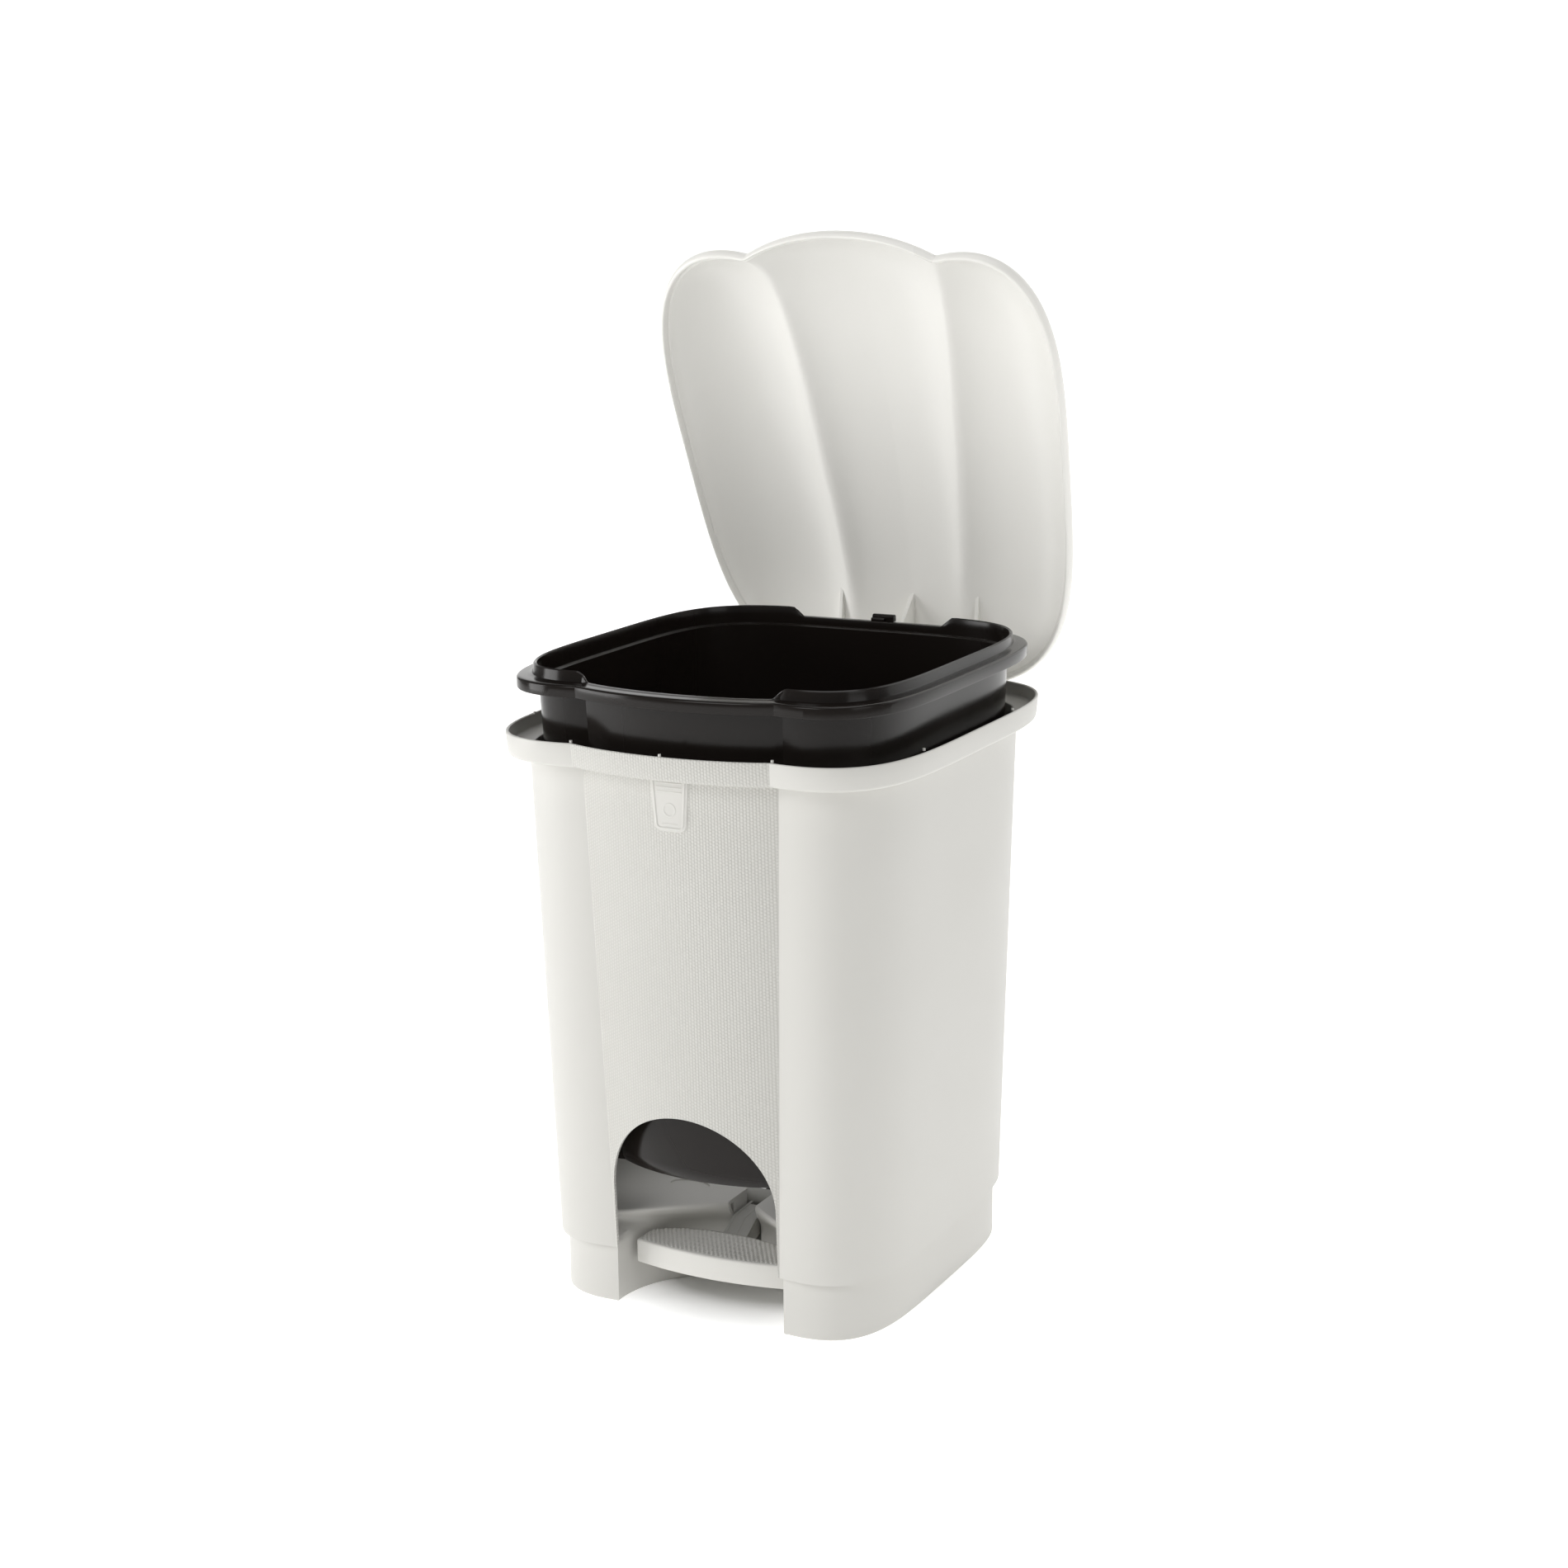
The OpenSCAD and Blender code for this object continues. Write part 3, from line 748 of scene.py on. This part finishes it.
edge_strip = np.stack([rim_of(face), rim_of(behind)])
plaque_grids = [(face, False, False), (behind, False, False), (edge_strip, False, True)]
piece("plaque", plaque_grids, "body", ["front_badge"], sharp=50)

# %% [markdown]
# ## Effects that the finishes share
# Moulded plastic is never one flat tone. A first group gives the fine grain of a spark-eroded mould,
# with slow changes of tone, and a second gives faint rub marks. A third is the woven relief of the
# front panel: upright threads crossed by weft, in a staggered plain weave. They read the object's
# own coordinates, and give only colours, masks and heights that change over the surface.


# %% Node groups
def new_group(name, inputs, outputs):
    """A shader group with float inputs (name, value) and float outputs, and its two end nodes."""
    group = bpy.data.node_groups.new(name, "ShaderNodeTree")
    for label, value in inputs:
        socket = group.interface.new_socket(label, in_out="INPUT", socket_type="NodeSocketFloat")
        socket.default_value = value
    for label in outputs:
        group.interface.new_socket(label, in_out="OUTPUT", socket_type="NodeSocketFloat")
    return group, group.nodes.new("NodeGroupInput"), group.nodes.new("NodeGroupOutput")


def put(tree, kind, **settings):
    """Adds a node and sets its named settings."""
    node = tree.nodes.new(kind)
    for key, value in settings.items():
        setattr(node, key, value)
    return node


def link(tree, source, target):
    """Joins an output socket to an input socket."""
    tree.links.new(source, target)


def maths(tree, operation, a, b=0.5, clamp=False):
    """A Math node whose inputs are numbers or sockets; returns its output."""
    node = put(tree, "ShaderNodeMath", operation=operation, use_clamp=clamp)
    for socket, value in zip(node.inputs, (a, b)):
        if isinstance(value, bpy.types.NodeSocket):
            link(tree, value, socket)
        else:
            socket.default_value = value
    return node.outputs[0]


def object_xyz(tree):
    """The object's own coordinates, apart."""
    place = put(tree, "ShaderNodeTexCoord")
    apart = put(tree, "ShaderNodeSeparateXYZ")
    link(tree, place.outputs["Object"], apart.inputs[0])
    return place.outputs["Object"], apart.outputs


def noise(tree, place, scale, detail=3.0):
    """A Noise texture's value at this many waves per metre."""
    node = put(tree, "ShaderNodeTexNoise")
    link(tree, place, node.inputs["Vector"])
    if isinstance(scale, bpy.types.NodeSocket):
        link(tree, scale, node.inputs["Scale"])
    else:
        node.inputs["Scale"].default_value = scale
    node.inputs["Detail"].default_value = detail
    return node.outputs[0]


grain_group, start, end = new_group("mould_grain", [("Grain size", 1500.0)], ["Height", "Tone"])
place, _ = object_xyz(grain_group)
link(grain_group, noise(grain_group, place, start.outputs["Grain size"], 2.0), end.inputs["Height"])
link(grain_group, noise(grain_group, place, 9.0, 2.0), end.inputs["Tone"])

rub_group, start, end = new_group("rub_marks", [("Amount", 1.0)], ["Mask"])
place, _ = object_xyz(rub_group)
patches = maths(rub_group, "MULTIPLY_ADD", noise(rub_group, place, 22.0, 4.0), 4.0)
patches.node.inputs[2].default_value = -1.9
patches.node.use_clamp = True
specks = maths(rub_group, "GREATER_THAN", noise(rub_group, place, 420.0, 5.0), 0.62)
both = maths(rub_group, "MULTIPLY", patches, specks)
link(rub_group, maths(rub_group, "MULTIPLY", both, start.outputs["Amount"]), end.inputs["Mask"])

weave_group, start, end = new_group("panel_weave", [("Thread", 1.9), ("Weft", 2.1)], ["Height", "Mask"])
place, (px, py, pz) = object_xyz(weave_group)
thread = maths(weave_group, "DIVIDE", maths(weave_group, "MULTIPLY", px, 1000.0), start.outputs["Thread"])
weft = maths(weave_group, "DIVIDE", maths(weave_group, "MULTIPLY", pz, 1000.0), start.outputs["Weft"])
half_steps = maths(weave_group, "MULTIPLY", maths(weave_group, "FLOOR", thread), 0.5)
shifted = maths(weave_group, "ADD", weft, half_steps)


def wave(tree, value):
    """The size of a sine that reaches nought at every whole number."""
    return maths(tree, "ABSOLUTE", maths(tree, "SINE", maths(tree, "MULTIPLY", value, math.pi)))


upright = wave(weave_group, thread)
across = wave(weave_group, shifted)
knots = maths(weave_group, "MULTIPLY_ADD", across, 0.75)
knots.node.inputs[2].default_value = 0.25
raised = maths(weave_group, "MULTIPLY", upright, knots)
seam_at = maths(weave_group, "MULTIPLY_ADD", maths(weave_group, "SUBTRACT", pz, 0.0415), 0.028)
seam_at.node.inputs[2].default_value = 0.0625
within = maths(weave_group, "LESS_THAN", maths(weave_group, "ABSOLUTE", px), seam_at)
in_front = maths(weave_group, "LESS_THAN", py, -0.1)
above = maths(weave_group, "GREATER_THAN", pz, 0.0416)
mask = maths(weave_group, "MULTIPLY", maths(weave_group, "MULTIPLY", within, in_front), above)
link(weave_group, mask, end.inputs["Mask"])
link(weave_group, maths(weave_group, "MULTIPLY", raised, mask), end.inputs["Height"])
print("node groups:", [g.name for g in bpy.data.node_groups])

# %% [markdown]
# ## Finishes
# Every finish is a Principled shader. Its plain numbers stand on its own sockets, and the groups only
# change colour, roughness and height. The shell is a warm pale grey polypropylene with a low sheen.
# The lid's base tone is much lighter than the shell's: painted light that stands for light reaching its
# shaded inside. The bucket is glossy black, and the hidden linkage is a duller grey.


# %% Finish maker
def finish(name, tone_a, tone_b, rough_a, rough_b, grain_height, grain_size, metallic=0.0, rub=0.0):
    """A Principled material whose tone and roughness drift, with a fine moulded grain."""
    material = bpy.data.materials.new(name)
    material.use_nodes = True
    tree = material.node_tree
    shader = tree.nodes["Principled BSDF"]
    shader.inputs["Metallic"].default_value = metallic
    shader.inputs["IOR"].default_value = 1.49
    grain = put(tree, "ShaderNodeGroup", node_tree=grain_group)
    grain.inputs["Grain size"].default_value = grain_size
    tone = put(tree, "ShaderNodeMix", data_type="RGBA")
    tone.inputs[6].default_value = (*tone_a, 1)
    tone.inputs[7].default_value = (*tone_b, 1)
    link(tree, grain.outputs["Tone"], tone.inputs[0])
    link(tree, tone.outputs[2], shader.inputs["Base Color"])
    rough = put(tree, "ShaderNodeMix", data_type="FLOAT")
    rough.inputs[2].default_value = rough_a
    rough.inputs[3].default_value = rough_b
    link(tree, grain.outputs["Tone"], rough.inputs[0])
    level = rough.outputs[0]
    if rub:
        marks = put(tree, "ShaderNodeGroup", node_tree=rub_group)
        marks.inputs["Amount"].default_value = rub
        level = maths(tree, "ADD", level, marks.outputs["Mask"], clamp=True)
    link(tree, level, shader.inputs["Roughness"])
    bump = put(tree, "ShaderNodeBump")
    bump.inputs["Distance"].default_value = grain_height * MM
    bump.inputs["Strength"].default_value = 1.0
    link(tree, grain.outputs["Height"], bump.inputs["Height"])
    link(tree, bump.outputs[0], shader.inputs["Normal"])
    return material


def add_weave(material, depth):
    """Lays the panel weave over a finish's grain, and paints a little shade into the gaps between threads."""
    tree = material.node_tree
    shader = tree.nodes["Principled BSDF"]
    weave = put(tree, "ShaderNodeGroup", node_tree=weave_group)
    weave.inputs["Thread"].default_value = 2.1
    weave.inputs["Weft"].default_value = 2.3
    gap = maths(tree, "SUBTRACT", weave.outputs["Mask"], weave.outputs["Height"])
    # Painted shade: the gaps between the threads are multiplied a little darker.
    painted_gap_shade = put(tree, "ShaderNodeMix", data_type="RGBA", blend_type="MULTIPLY")
    painted_gap_shade.inputs[7].default_value = (0.84, 0.84, 0.83, 1)
    link(tree, gap, painted_gap_shade.inputs[0])
    link(tree, shader.inputs["Base Color"].links[0].from_socket, painted_gap_shade.inputs[6])
    link(tree, painted_gap_shade.outputs[2], shader.inputs["Base Color"])
    bump = put(tree, "ShaderNodeBump")
    bump.inputs["Distance"].default_value = depth * MM
    bump.inputs["Strength"].default_value = 1.0
    link(tree, weave.outputs["Height"], bump.inputs["Height"])
    link(tree, shader.inputs["Normal"].links[0].from_socket, bump.inputs["Normal"])
    link(tree, bump.outputs[0], shader.inputs["Normal"])


PALE_A, PALE_B = (0.632, 0.623, 0.592), (0.608, 0.598, 0.566)
# Painted light: the lid's tones are far lighter than the shell's, to stand for light on the lid's shaded
# inside.
LID_PAINTED_LIGHT_A, LID_PAINTED_LIGHT_B = (0.865, 0.855, 0.817), (0.842, 0.831, 0.792)
shell_finish = finish("pale_shell_plastic", PALE_A, PALE_B, 0.36, 0.46, 0.020, 1500.0, rub=0.05)
add_weave(shell_finish, 0.3)
lid_painted_light_finish = finish("lid_plastic_painted_light", LID_PAINTED_LIGHT_A, LID_PAINTED_LIGHT_B, 0.26, 0.31, 0.006, 900.0)
plinth_finish = finish("pale_plinth_plastic", PALE_A, PALE_B, 0.38, 0.46, 0.020, 1500.0, rub=0.08)
GRIP_A, GRIP_B = (0.70, 0.69, 0.655), (0.65, 0.64, 0.605)
DARK_A, DARK_B = (0.0085, 0.0066, 0.0056), (0.012, 0.0094, 0.0080)
GREY_A, GREY_B = (0.42, 0.415, 0.39), (0.36, 0.355, 0.33)
STEEL_A, STEEL_B = (0.56, 0.57, 0.59), (0.48, 0.49, 0.51)
grip_finish = finish("pale_grip_plastic", GRIP_A, GRIP_B, 0.42, 0.55, 0.03, 1200.0, rub=0.1)
bucket_finish = finish("black_bucket_plastic", DARK_A, DARK_B, 0.14, 0.22, 0.006, 700.0, rub=0.06)
bucket_finish.node_tree.nodes["Principled BSDF"].inputs["Specular IOR Level"].default_value = 0.24
linkage_finish = finish("grey_linkage_plastic", GREY_A, GREY_B, 0.42, 0.52, 0.02, 1300.0, rub=0.08)
steel_finish = finish("drawn_steel", STEEL_A, STEEL_B, 0.22, 0.34, 0.004, 2600.0, metallic=1.0)
print("finishes:", [m.name for m in bpy.data.materials if m.users or m.use_nodes])

# %% [markdown]
# ## Which part wears which finish
# A drawn piece gets its finish as its only material. A frame solid that is already right keeps its
# shape, and only the material in its slots changes.

# %% Dress the parts
drawn = {
    "shell_moulding": shell_finish,
    "plaque": plinth_finish,
    "plinth_moulding": plinth_finish,
    "axle_bosses": plinth_finish,
    "shaft_trays": plinth_finish,
    "channel_cheeks": plinth_finish,
    "bucket_hook": bucket_finish,
    "lid_moulding": lid_painted_light_finish,
    "lid_arms": lid_painted_light_finish,
    "lid_ribs": lid_painted_light_finish,
    "push_arm": lid_painted_light_finish,
    "tread_pad": grip_finish,
    "lever_cover": linkage_finish,
    "bucket_moulding": bucket_finish,
}
for name, material in drawn.items():
    bpy.data.objects[name].data.materials.clear()
    bpy.data.objects[name].data.materials.append(material)
solids = {
    "rim_buffers": plinth_finish,
    "hinge_bracket_left": plinth_finish,
    "hinge_bracket_right": plinth_finish,
    "rod_cover": plinth_finish,
    "rod_guide_lower": linkage_finish,
    "rod_guide_upper": linkage_finish,
    "axle_cap_left": linkage_finish,
    "axle_cap_right": linkage_finish,
    "pedal_lever": linkage_finish,
    "rod_head": linkage_finish,
    "rod_foot": linkage_finish,
    "hinge_pin_left": steel_finish,
    "hinge_pin_right": steel_finish,
    "pedal_axle": steel_finish,
    "push_rod": steel_finish,
    "rod_foot_pin": steel_finish,
}
for name, material in solids.items():
    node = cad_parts[name]
    if not node.material_slots:
        node.data.materials.append(material)
    for slot in node.material_slots:
        slot.material = material
print(len(drawn), "drawn pieces and", len(solids), "frame solids are dressed")

# %% [markdown]
# ## Floor and backdrop
# A pale studio sweep: the floor runs back and curves up into a wall, so there is no line behind the
# bin. It is one profile carried along X, and it isn't part of the object. The paper glows a little,
# except under the bin, so that it stays white while the toe space keeps its shade.

# %% Sweep
t = np.linspace(0, np.pi / 2, 24)
profile = [(-4.0, 0.0)] + [(2.2 + 1.2 * math.sin(a), 1.2 - 1.2 * math.cos(a)) for a in t] + [(3.4, 4.5)]
xs = np.linspace(-5, 5, 12)
sweep_points = np.array([[(x, y, z) for x in xs] for y, z in profile])
sweep_mesh = bpy.data.meshes.new("studio_sweep")
sweep_faces = quads(len(profile), len(xs), False, False).tolist()
sweep_mesh.from_pydata(sweep_points.reshape(-1, 3).tolist(), [], sweep_faces)
sweep = bpy.data.objects.new("studio_sweep", sweep_mesh)
bpy.context.scene.collection.objects.link(sweep)
smooth(sweep, 60)
paper = bpy.data.materials.new("backdrop_paper")
paper.use_nodes = True
tree = paper.node_tree
shader = tree.nodes["Principled BSDF"]
shader.inputs["Base Color"].default_value = (0.93, 0.93, 0.92, 1)
shader.inputs["Roughness"].default_value = 0.9
shader.inputs["Emission Color"].default_value = (1, 1, 1, 1)
_, (px, py, pz) = object_xyz(tree)
squares = maths(tree, "ADD", maths(tree, "MULTIPLY", px, px), maths(tree, "MULTIPLY", py, py))
reach = maths(tree, "SQRT", squares)
glow = put(tree, "ShaderNodeMapRange")
glow.inputs["From Min"].default_value, glow.inputs["From Max"].default_value = 0.09, 0.14
glow.inputs["To Min"].default_value, glow.inputs["To Max"].default_value = 0.0, 0.62
link(tree, reach, glow.inputs["Value"])
link(tree, glow.outputs[0], shader.inputs["Emission Strength"])
sweep_mesh.materials.append(paper)
print("sweep of", len(sweep_mesh.polygons), "faces")

# %% [markdown]
# ## Light
# Soft light from large panels: a low key from the left, which rakes across the lobes and reaches
# into the lid, a higher panel in front for the pedal, one overhead, and a
# weaker fill from the right, so that the side wall stays light. The world lifts the shadows. A tiny
# lamp under the bucket stands for the daylight that comes through the thin pale walls.

# %% Lights


def panel_light(name, place, aim, size, power, tint=(1, 1, 1)):
    """A square area light at a place, turned to face a point, in metres and watts."""
    data = bpy.data.lights.new(name, "AREA")
    data.shape, data.size, data.energy, data.color = "SQUARE", size, power, tint
    light = bpy.data.objects.new(name, data)
    light.location = place
    light.rotation_euler = (Vector(aim) - Vector(place)).to_track_quat("-Z", "Y").to_euler()
    bpy.context.scene.collection.objects.link(light)
    return light


panel_light("key_panel", (-2.4, -1.5, 0.75), (0, 0, 0.4), 1.4, 34)
panel_light("front_panel", (-0.5, -2.4, 2.1), (0, 0, 0.3), 1.3, 19)
panel_light("fill_panel", (2.7, -0.7, 1.4), (0, 0, 0.3), 1.6, 10)
panel_light("top_panel", (0.2, 0.3, 3.2), (0, 0, 0.2), 2.0, 20)
panel_light("wall_glow", (-0.03, -0.02, 0.093), (-0.03, -0.019, 0), 0.14, 0.026)
world = bpy.data.worlds.new("studio_air")
world.use_nodes = True
world.node_tree.nodes["Background"].inputs["Color"].default_value = (1, 1, 0.99, 1)
world.node_tree.nodes["Background"].inputs["Strength"].default_value = 0.26
bpy.context.scene.world = world
bpy.context.scene.view_settings.view_transform = "Standard"

# %% [markdown]
# ## Camera
# The camera stands to the right of the front, a little under two metres away, and looks down by
# about thirteen degrees through a 64 mm lens. Its turn is built from yaw, pitch and a slight roll.

# %% Camera
yaw, pitch, roll = math.radians(26.99), math.radians(12.88), -0.0104
right = Vector((math.cos(yaw), math.sin(yaw), 0))
forward = Vector((-math.sin(yaw) * math.cos(pitch), math.cos(yaw) * math.cos(pitch), -math.sin(pitch)))
up = right.cross(forward)
right, up = math.cos(roll) * right + math.sin(roll) * up, -math.sin(roll) * right + math.cos(roll) * up
camera_data = bpy.data.cameras.new("studio_camera")
camera_data.lens, camera_data.sensor_width, camera_data.sensor_fit = 63.71, 36.0, "HORIZONTAL"
camera = bpy.data.objects.new("studio_camera", camera_data)
turn = Matrix((right, up, -forward)).transposed().to_4x4()
camera.matrix_world = Matrix.Translation((0.8558, -1.675, 0.7768)) @ turn
bpy.context.scene.collection.objects.link(camera)
bpy.context.scene.camera = camera
print("camera at", [round(v, 3) for v in camera.matrix_world.translation])
